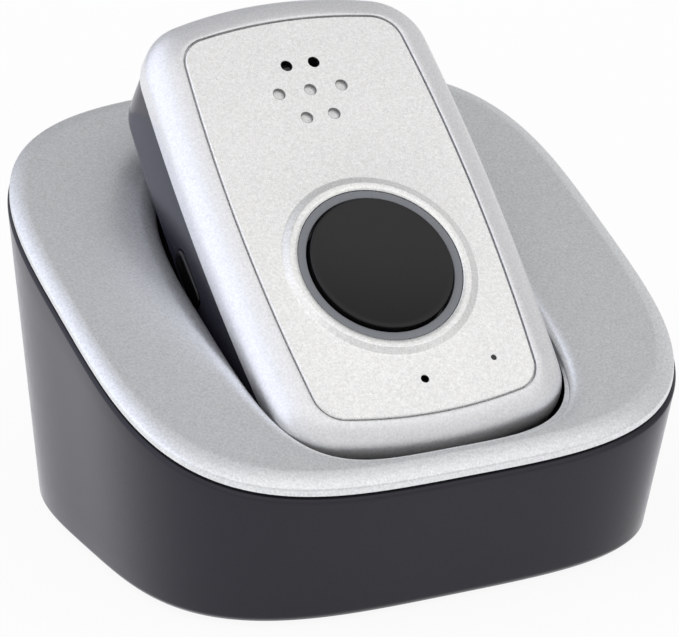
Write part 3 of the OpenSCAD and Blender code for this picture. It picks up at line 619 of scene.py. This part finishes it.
def cover_rings():
    """Section of the silver top: a bevelled edge, a sloping top and the lip that rolls into the pocket."""
    rise = COVER_RISE - COVER_EDGE
    slant = math.hypot(COVER_BEVEL, rise)
    bevel_steps, top_steps = 6, 5
    seam_round, edge_round, crest_round = 0.15, 0.3, 0.4
    rings = [(on_seam(seam_plan(COVER_INSET), 0), seam_round)]
    for i in range(bevel_steps + 1):
        s = i / bevel_steps
        bulge = COVER_BULGE * math.sin(math.pi * s) / slant
        plan = seam_plan(COVER_INSET + COVER_BEVEL * s - bulge * rise)
        rings.append((on_seam(plan, COVER_EDGE + rise * s + bulge * COVER_BEVEL), 0))
    crest = rings[-1][0]
    rings[1] = (rings[1][0], edge_round)
    rings[-1] = (crest, crest_round)
    first_lip = on_seam(lip_plan(1), COVER_RISE)
    for i in range(1, top_steps):
        rings.append((between(crest, first_lip, i / top_steps), 0))
    for s, c in quarter():
        rings.append((on_seam(lip_plan(1 - s), COVER_RISE - LIP_DROP * (1 - c)), 0))
    rings += [
        (on_seam(liner_plan(), 0), seam_round),
        (on_seam(opening_plan(LIP_T, LIP_T), 0), 0),
        (on_seam(opening_plan(LIP_T, LIP_T), COVER_RISE - COVER_T), 0),
        (on_seam(seam_plan(COVER_INSET + COVER_T), COVER_RISE - COVER_T), 0),
        (on_seam(seam_plan(COVER_INSET + COVER_T), 0), 0),
    ]
    return rings


def base_rings():
    """Section of the charcoal tub, with a ledge under the cover and one over the bottom plate."""
    low_edge, top_edge, wall_steps = 0.8, 0.4, 8
    foot_round, wall_round, rim_round, lip_round = 0.3, 0.4, 0.25, 0.12
    bottom = on_level(foot_plan(0), BASE_LIFT + low_edge)
    top = on_seam(seam_plan(0), -SEAM_GAP - top_edge)
    rings = [(on_level(foot_plan(low_edge), BASE_LIFT), foot_round), (bottom, wall_round)]
    rings += [(between(bottom, top, i / wall_steps), 0) for i in range(1, wall_steps)]
    rings += [
        (top, rim_round),
        (on_seam(seam_plan(top_edge), -SEAM_GAP), lip_round),
        (on_seam(seam_plan(BASE_WALL), -SEAM_GAP), 0),
        (on_seam(seam_plan(BASE_WALL), -FLANGE_T), 0),
        (on_seam(seam_plan(BASE_WALL + BASE_LEDGE), -FLANGE_T), 0),
        (on_seam(seam_plan(BASE_WALL + BASE_LEDGE), -FLANGE_T - LEDGE_H), 0),
        (on_seam(seam_plan(BASE_WALL + PLATE_GAP), -FLANGE_T - 2 * LEDGE_H), 0),
        (on_level(foot_plan(BASE_WALL + PLATE_GAP), PLATE_TOP + 2 * LEDGE_H), 0),
        (on_level(foot_plan(BASE_WALL + BASE_LEDGE), PLATE_TOP + LEDGE_H), 0),
        (on_level(foot_plan(BASE_WALL + BASE_LEDGE), PLATE_TOP), 0),
        (on_level(foot_plan(BASE_WALL), PLATE_TOP), 0),
        (on_level(foot_plan(BASE_WALL), BASE_LIFT), 0),
    ]
    return rings


piece("cradle_cover", loop_shell(cover_rings()), "cradle", "silver_paint", "cradle_top_cover")
base = piece("cradle_base", loop_shell(base_rings()), "cradle", "charcoal_plastic", "cradle_base_shell")
JACK_AXIS = Matrix.Translation((0, CRADLE_D / 2, JACK_Z)) @ Matrix.Rotation(math.radians(90), 4, "X")
jack_hole = [
    (0, -JACK_CUT_OUT), (JACK_HOLE_R, -JACK_CUT_OUT), (JACK_HOLE_R, JACK_CUT_IN), (0, JACK_CUT_IN)
]
cut(base, turned(jack_hole), JACK_AXIS)

foot_profile = rounded([(0, 0, 0), (FOOT_R, 0, FOOT_EDGE), (FOOT_R, FOOT_T, 0), (0, FOOT_T, 0)])
foot_forms = [turned(foot_profile, (x, y)) for x in (-FOOT_X, FOOT_X) for y in (-FOOT_Y, FOOT_Y)]
piece("cradle_feet", joined(*foot_forms), "cradle", "foot_rubber", "rubber_feet")


# Pendant shells

def bezel_rings():
    """Section of the silver frame, which keeps sloping up to the groove around the panel."""
    ledge, deck_in, shoulder = 1.8, 0.6, 2.0
    seam_round, groove_round = 0.12, 0.2
    rings = [(on_level(case_plan(0), -BEZEL_H), seam_round)]
    last = math.acos(1 - BEZEL_RIM / BEZEL_SWEEP)
    for i in range(ROLL_STEPS + 1):
        t = last * i / ROLL_STEPS
        rise = BEZEL_ROLL * (math.sin(t) - math.sin(last))
        rings.append((on_level(case_plan(BEZEL_SWEEP * (1 - math.cos(t))), rise), 0))
    rings += [
        (on_level(panel_plan(PANEL_GROOVE), 0), groove_round),
        (on_level(panel_plan(PANEL_GROOVE), -PANEL_SEAT), 0),
        (on_level(panel_plan(-ledge), -PANEL_SEAT), 0),
        (on_level(panel_plan(-ledge), DECK_Z), 0),
        (on_level(case_plan(SHELL_WALL + deck_in), DECK_Z), 0),
        (on_level(case_plan(SHELL_WALL), DECK_Z - shoulder), 0),
        (on_level(case_plan(SHELL_WALL), -BEZEL_H), 0),
    ]
    return rings


def rear_rings():
    """Section of the charcoal case, with a shelf that the back cover sits on."""
    shelf_t, shelf_slope, edge_round = 1.0, 0.5, 0.1
    side = REAR_STEP + REAR_DRAFT
    shelf = BACK_Z + BACK_T + shelf_t
    rings = [
        (on_level(case_plan(REAR_STEP + SHELL_WALL), -BEZEL_H), 0),
        (on_level(case_plan(side + SHELL_WALL), shelf + shelf_slope), 0),
        (on_level(case_plan(BACK_INSET + BACK_LEDGE), shelf), 0),
        (on_level(case_plan(BACK_INSET + BACK_LEDGE), BACK_Z + BACK_T), 0),
        (on_level(case_plan(BACK_INSET), BACK_Z + BACK_T), 0),
        (on_level(case_plan(BACK_INSET), BACK_Z), edge_round),
    ]
    roll = [
        (on_level(case_plan(side + REAR_ROLL * (1 - c)), BACK_Z + REAR_ROLL * (1 - s)), 0)
        for s, c in quarter()
    ]
    rings += roll[::-1]
    rings.append((on_level(case_plan(REAR_STEP), -BEZEL_H), edge_round))
    return rings


piece("pendant_bezel", loop_shell(bezel_rings()), "pendant", "silver_bezel", "front_bezel", PENDANT)
rear = piece(
    "pendant_rear_case", loop_shell(rear_rings()), "pendant", "charcoal_plastic", "rear_case", PENDANT
)


# Side key, drawn flat and set into the left wall

KEY_PLACE = (
    PENDANT
    @ Matrix.Translation((-KEY_WALL_X, KEY_Y, KEY_Z))
    @ Matrix.Rotation(math.radians(-90), 4, "Y")
)


def stadium(outset, z):
    """The key's outline, widened, at a height."""
    reach = (KEY_L - KEY_H) / 2
    r = KEY_H / 2 + outset
    half = 24
    ring = [(x, reach + y) for x, y in arc((0, 0), r, 0, 180, half)]
    ring += [(x, y - reach) for x, y in arc((0, 0), r, 180, 360, half)]
    return on_level(ring, z)


def stadium_form(rings):
    """A closed form from rings of the stadium, with flat ends."""
    rings = soften(rings, closed=False)
    points = [p for ring in rings for p in ring]
    count = len(rings[0])
    faces = ring_faces(count, len(rings), closed=False)
    last = (len(rings) - 1) * count
    faces.append(tuple(range(count))[::-1])
    faces.append(tuple(last + j for j in range(count)))
    return points, faces


key_hole = [(stadium(KEY_GAP, -KEY_CUT_IN), 0), (stadium(KEY_GAP, KEY_CUT_OUT), 0)]
cut(rear, stadium_form(key_hole), KEY_PLACE)
key_rings = [
    (stadium(KEY_FLANGE, -KEY_INSIDE - KEY_FLANGE_T), 0),
    (stadium(KEY_FLANGE, -KEY_INSIDE), 0),
    (stadium(0, -KEY_INSIDE), 0),
    (stadium(0, KEY_PROUD), KEY_EDGE),
    (stadium(-KEY_CREST_IN, KEY_PROUD + KEY_CREST), KEY_CREST_EDGE),
    (stadium(-KEY_DISH_IN, KEY_PROUD - KEY_DISH), 0),
]
piece("pendant_side_key", stadium_form(key_rings), "side_key", "button_black", "side_key", KEY_PLACE)


# Face panel with its bead and holes

def speaker_holes():
    """Middle of each speaker hole and whether it goes through."""
    for x in (-SPEAKER_HALF, SPEAKER_HALF):
        yield x, SPEAKER_Y + SPEAKER_ROW, True
    for x in (-SPEAKER_PITCH, 0, SPEAKER_PITCH):
        yield x, SPEAKER_Y, False
    for x in (-SPEAKER_HALF, SPEAKER_HALF):
        yield x, SPEAKER_Y - SPEAKER_ROW, False


def bead_profile():
    """Section of the bead: a soft crest with a straight slope outside it."""
    inner_steps, outer_steps, inner_power = 12, 24, 4
    profile = [(BEAD_IN, -PANEL_T)]
    for i in range(inner_steps):
        s = 1 - i / inner_steps
        height = BEAD_H + (BEAD_LOW - BEAD_H) * s ** inner_power
        profile.append((BEAD_CREST + (BEAD_IN - BEAD_CREST) * s, height))
    for i in range(outer_steps + 1):
        s = i / outer_steps
        profile.append((BEAD_CREST + (BEAD_OUT - BEAD_CREST) * s, BEAD_H * bead_fall(s)))
    return profile


def bead_fall(s):
    """Falls from 1 to 0, straight but for a soft start and end."""
    bend = 2 * BEAD_SOFT * (1 - BEAD_SOFT)
    if s < BEAD_SOFT:
        return 1 - s * s / bend
    if s > 1 - BEAD_SOFT:
        return (1 - s) ** 2 / bend
    return 1 - (s - BEAD_SOFT / 2) / (1 - BEAD_SOFT)


def panel_form():
    """The panel as one closed skin, whose flat faces are filled between its outline, bead and holes."""
    mesh = bmesh.new()
    edge_bulge, hole_bulge = 0.4, 0.3

    def ring(plan, z):
        return [mesh.verts.new((x, y, z)) for x, y in plan]

    def edges_of(row):
        return [mesh.edges.get(pair) or mesh.edges.new(pair) for pair in zip(row, row[1:] + row[:1])]

    def wall(low, high):
        for i in range(len(low)):
            k = (i + 1) % len(low)
            mesh.faces.new((low[i], low[k], high[k], high[i]))

    def walls(rows):
        for low, high in zip(rows, rows[1:]):
            wall(low, high)

    def circle(x, y, r, count):
        return arc((x, y), r, 0, 360, count)

    outline = [
        ring(panel_plan(0), -PANEL_T),
        ring(panel_plan(0), -PANEL_EDGE),
        ring(panel_plan(-PANEL_EDGE * edge_bulge), -PANEL_EDGE * edge_bulge),
        ring(panel_plan(-PANEL_EDGE), 0),
    ]
    walls(outline)
    bottom_edges = edges_of(outline[0])
    top_edges = edges_of(outline[-1])

    bead = [ring(circle(0, BUTTON_Y, r, TURN_POINTS), z) for r, z in bead_profile()]
    walls(bead)
    bottom_edges += edges_of(bead[0])
    top_edges += edges_of(bead[-1])

    for x, y, r, through in panel_holes():
        rows = [
            ring(circle(x, y, r + HOLE_EDGE, HOLE_POINTS), 0),
            ring(circle(x, y, r + HOLE_EDGE * hole_bulge, HOLE_POINTS), -HOLE_EDGE * hole_bulge),
            ring(circle(x, y, r, HOLE_POINTS), -HOLE_EDGE),
            ring(circle(x, y, r, HOLE_POINTS), -PANEL_T if through else -DIMPLE),
        ]
        walls(rows)
        top_edges += edges_of(rows[0])
        if through:
            bottom_edges += edges_of(rows[-1])
        else:
            mesh.faces.new(rows[-1])
    for edges in (top_edges, bottom_edges):
        bmesh.ops.triangle_fill(mesh, use_beauty=True, use_dissolve=False, edges=edges)
    mesh.verts.index_update()
    points = [v.co.copy() for v in mesh.verts]
    faces = [tuple(v.index for v in f.verts) for f in mesh.faces]
    mesh.free()
    return points, faces


def panel_holes():
    """Middle, radius and whether it goes through, of each hole in the panel."""
    holes = [(x, y, SPEAKER_HOLE_R, through) for x, y, through in speaker_holes()]
    return holes + [(0, MIC_Y, MIC_R, True), (LED_X, LED_Y, LED_R, True)]


def darken_holes(obj):
    """Gives the walls of the through holes black plastic, and paints shade on the blind ones: a dark grey on
    their rims and walls, a dimmer silver on their floors.
    """
    black_wall, wall, floor = 1, 2, 3
    steep, near = 0.5, 0.005
    for name in ("black_plastic", "dimple_wall", "dimple_floor"):
        obj.data.materials.append(MATERIALS[name])
    inward = PENDANT.inverted()
    for face in obj.data.polygons:
        x, y, z = inward @ (face.center / MM)
        level = abs((inward.to_3x3() @ face.normal).z)
        for a, b, r, through in panel_holes():
            if math.hypot(x - a, y - b) > r + HOLE_EDGE:
                continue
            if through and z < -HOLE_EDGE and level < steep:
                face.material_index = black_wall
            # Painted shade: a blind hole's rim and wall get the dark grey, its floor the dimmer silver
            if not through and -DIMPLE - near < z < 0:
                face.material_index = floor if z < -DIMPLE + near else wall


panel = piece(
    "pendant_face_panel", panel_form(), "pendant", "face_silver", "face_panel", PENDANT, PANEL_SHARP
)
darken_holes(panel)


# Light ring and call button

ring_profile = rounded([
    (RING_IN, DECK_Z, 0),
    (RING_OUT + RING_LIP, DECK_Z, 0),
    (RING_OUT + RING_LIP, -PANEL_SEAT, 0),
    (RING_OUT, -PANEL_SEAT, 0),
    (RING_OUT, RING_RISE, RING_OUT_EDGE),
    (RING_IN, RING_RISE, RING_IN_EDGE),
    (RING_IN, DECK_Z, 0),
])
ring_form = turned(ring_profile, (0, BUTTON_Y))
piece("pendant_light_ring", ring_form, "pendant", "light_ring", "light_ring", PENDANT)


def button_profile():
    """Section of the cap: a stem and a flanged skirt under a dished top."""
    fillet, corner_steps, dish_steps = 0.2, 10, 16
    skirt_gap, skirt_t, flange_gap, wall = 0.1, 0.9, 0.25, 1.4
    stem_r, stem_end, root = 1.4, -6.0, -0.5
    skirt_top = DECK_Z - skirt_gap
    skirt_low = skirt_top - skirt_t
    flange_r = RING_OUT - flange_gap
    hollow = BUTTON_R - wall
    flat_r = BUTTON_R - fillet
    profile = [
        (0, stem_end), (stem_r, stem_end), (stem_r, root), (hollow, root), (hollow, skirt_low),
        (flange_r, skirt_low), (flange_r, skirt_top), (BUTTON_R, skirt_top),
    ]
    for s, c in quarter(corner_steps):
        profile.append((flat_r + fillet * c, BUTTON_RISE - fillet + fillet * s))
    for i in range(1, dish_steps + 1):
        f = 1 - i / dish_steps
        profile.append((flat_r * f, BUTTON_RISE - BUTTON_DISH * (1 - f * f)))
    return profile


cap_form = turned(button_profile(), (0, BUTTON_Y))
piece("call_button_cap", cap_form, "call_button", "button_black", "call_button", PENDANT)


# Contacts

def contact_row(profile):
    """One turned form for each contact, side by side."""
    middle = (CONTACT_COUNT - 1) / 2
    xs = [(i - middle) * CONTACT_PITCH for i in range(CONTACT_COUNT)]
    return joined(*[turned(profile, (x, CONTACT_Y)) for x in xs])


pin_low = BACK_Z - PIN_DEPTH
pin_top = BACK_Z - PIN_GAP
pin_profile = rounded([(0, pin_low, 0), (PIN_R, pin_low, 0), (PIN_R, pin_top, PIN_EDGE), (0, pin_top, 0)])
piece("contact_pins", contact_row(pin_profile), "contacts", "gold_plate", "contact_plungers", PENDANT)
pad_in = BACK_Z + PAD_T
pad_profile = rounded([
    (0, pad_in, 0), (PAD_R, pad_in, 0), (PAD_R, BACK_Z, PAD_EDGE), (0, BACK_Z + PAD_DISH, 0)
])
piece("pendant_charge_pads", contact_row(pad_profile), "pendant", "gold_plate", "charge_pads", PENDANT)


# Floor, light and camera

FLOOR_HALF = 3.0
FLOOR_COLOUR = (0.95, 0.95, 0.95, 1)
FLOOR_GLOW = 0.92


def floor_material():
    """A white floor that keeps the shadow of the object."""
    material = bpy.data.materials.new("white_floor")
    material.use_nodes = True
    nodes = material.node_tree.nodes
    links = material.node_tree.links
    nodes.clear()
    path = nodes.new("ShaderNodeLightPath")
    matte = nodes.new("ShaderNodeBsdfDiffuse")
    matte.inputs["Color"].default_value = FLOOR_COLOUR
    white = nodes.new("ShaderNodeEmission")
    white.inputs["Strength"].default_value = 1
    seen = path.outputs["Is Camera Ray"]
    for other in ("Is Glossy Ray", "Is Transmission Ray"):
        most = nodes.new("ShaderNodeMath")
        most.operation = "MAXIMUM"
        links.new(seen, most.inputs[0])
        links.new(path.outputs[other], most.inputs[1])
        seen = most.outputs[0]
    share = nodes.new("ShaderNodeMath")
    share.operation = "MULTIPLY"
    share.inputs[1].default_value = FLOOR_GLOW
    links.new(seen, share.inputs[0])
    mix = nodes.new("ShaderNodeMixShader")
    links.new(share.outputs[0], mix.inputs["Fac"])
    links.new(matte.outputs[0], mix.inputs[1])
    links.new(white.outputs[0], mix.inputs[2])
    out = nodes.new("ShaderNodeOutputMaterial")
    links.new(mix.outputs[0], out.inputs["Surface"])
    return material


floor_mesh = bpy.data.meshes.new("floor")
floor_corners = [(x * FLOOR_HALF, y * FLOOR_HALF, 0) for x, y in ((-1, -1), (1, -1), (1, 1), (-1, 1))]
floor_mesh.from_pydata(floor_corners, [], [(0, 1, 2, 3)])
floor_mesh.materials.append(floor_material())
floor = linked("floor", floor_mesh)

SKY_LIGHT = 0.5
HORIZON_LIGHT = 0.15
HORIZON_POWER = 3
BACK_FALL = 0.2
SKY_TINT = (1.0, 1.0, 1.0)
# Each edge of the strip as a direction and the cosines at which the strip starts and is full
STRIP_EDGES = [
    ((0, -1, 0), 0.0, 0.3), ((0, 1, 0), -0.78, -0.6), ((-1, 0, 0), -0.8, -0.5), ((1, 0, 0), -0.75, -0.2)
]
STRIP_LIGHT = 0.58
STRIP_TINT = (1.0, 0.995, 0.985)
# Each box by the way to it and the angles at which it starts to fade and ends
LEFT_WAY = (-0.75, 0.35, 0.56)
LEFT_EDGE = (22, 55)
LEFT_LIGHT = 0.85
LEFT_TINT = (0.9, 0.95, 1.15)
RIGHT_WAY = (0.85, 0.45, 0.3)
RIGHT_EDGE = (10, 35)
RIGHT_LIGHT = 0.22
RIGHT_TINT = (1.0, 1.0, 1.0)


def studio_world():
    """Soft studio light: a pale sky, a long strip overhead in front and weaker boxes at the sides."""
    world = bpy.data.worlds.new("studio")
    world.use_nodes = True
    nodes = world.node_tree.nodes
    links = world.node_tree.links
    nodes.clear()
    way = nodes.new("ShaderNodeVectorMath")
    way.operation = "NORMALIZE"
    links.new(nodes.new("ShaderNodeTexCoord").outputs["Generated"], way.inputs[0])
    way = way.outputs[0]

    def maths(operation, a, b):
        node = nodes.new("ShaderNodeMath")
        node.operation = operation
        for socket, value in zip(node.inputs, (a, b)):
            if isinstance(value, (int, float)):
                socket.default_value = value
            else:
                links.new(value, socket)
        return node.outputs[0]

    def towards(direction):
        node = nodes.new("ShaderNodeVectorMath")
        node.operation = "DOT_PRODUCT"
        links.new(way, node.inputs[0])
        node.inputs[1].default_value = Vector(direction).normalized()
        return node.outputs["Value"]

    def tinted(value, colour):
        node = nodes.new("ShaderNodeMix")
        node.data_type = "RGBA"
        node.inputs["A"].default_value = (0, 0, 0, 1)
        node.inputs["B"].default_value = (*colour, 1)
        node.clamp_factor = False
        links.new(value, node.inputs["Factor"])
        return node.outputs["Result"]

    def added(a, b):
        node = nodes.new("ShaderNodeVectorMath")
        links.new(a, node.inputs[0])
        links.new(b, node.inputs[1])
        return node.outputs[0]

    def edge(direction, dark, bright):
        """Rises softly from 0 to 1 as the way turns towards a direction."""
        node = nodes.new("ShaderNodeMapRange")
        node.interpolation_type = "SMOOTHSTEP"
        node.inputs["From Min"].default_value = dark
        node.inputs["From Max"].default_value = bright
        links.new(towards(direction), node.inputs["Value"])
        return node.outputs["Result"]

    def softbox(direction, inner, outer, strength):
        """A round light with a soft edge, between two angles from its middle."""
        dark = math.cos(math.radians(outer))
        bright = math.cos(math.radians(inner))
        return maths("MULTIPLY", edge(direction, dark, bright), strength)

    def strip(edges, strength):
        """A light bounded by several soft edges."""
        light = strength
        for direction, dark, bright in edges:
            light = maths("MULTIPLY", edge(direction, dark, bright), light)
        return light

    low = maths("SUBTRACT", 1, maths("ABSOLUTE", towards((0, 0, 1)), 0))
    horizon = maths("ADD", maths("MULTIPLY", maths("POWER", low, HORIZON_POWER), HORIZON_LIGHT), SKY_LIGHT)
    horizon = maths("SUBTRACT", horizon, maths("MULTIPLY", towards((0, 1, 0)), BACK_FALL))
    light = tinted(horizon, SKY_TINT)
    light = added(light, tinted(strip(STRIP_EDGES, STRIP_LIGHT), STRIP_TINT))
    light = added(light, tinted(softbox(LEFT_WAY, *LEFT_EDGE, LEFT_LIGHT), LEFT_TINT))
    light = added(light, tinted(softbox(RIGHT_WAY, *RIGHT_EDGE, RIGHT_LIGHT), RIGHT_TINT))
    lit = nodes.new("ShaderNodeBackground")
    links.new(light, lit.inputs["Color"])
    white = nodes.new("ShaderNodeBackground")
    white.inputs["Color"].default_value = (1, 1, 1, 1)
    mix = nodes.new("ShaderNodeMixShader")
    links.new(nodes.new("ShaderNodeLightPath").outputs["Is Camera Ray"], mix.inputs["Fac"])
    links.new(lit.outputs[0], mix.inputs[1])
    links.new(white.outputs[0], mix.inputs[2])
    links.new(mix.outputs[0], nodes.new("ShaderNodeOutputWorld").inputs["Surface"])
    return world


bpy.context.scene.world = studio_world()

FOCAL_PX = 4500
IMAGE_W = 679
SENSOR = 36
AZIMUTH = math.radians(-26.315)
ELEVATION = math.radians(20.373)
DISTANCE = 657
AIM = Vector((-0.157, 0, 30.214))
level = math.cos(ELEVATION)
back = Vector((math.sin(AZIMUTH) * level, -math.cos(AZIMUTH) * level, math.sin(ELEVATION)))
lens = bpy.data.cameras.new("camera")
lens.sensor_fit = "HORIZONTAL"
lens.sensor_width = SENSOR
lens.lens = FOCAL_PX / IMAGE_W * SENSOR
camera = linked("camera", lens)
camera.location = (AIM + back * DISTANCE) * MM
camera.rotation_euler = (-back).to_track_quat("-Z", "Y").to_euler()
bpy.context.scene.camera = camera
bpy.context.scene.view_settings.view_transform = "Standard"
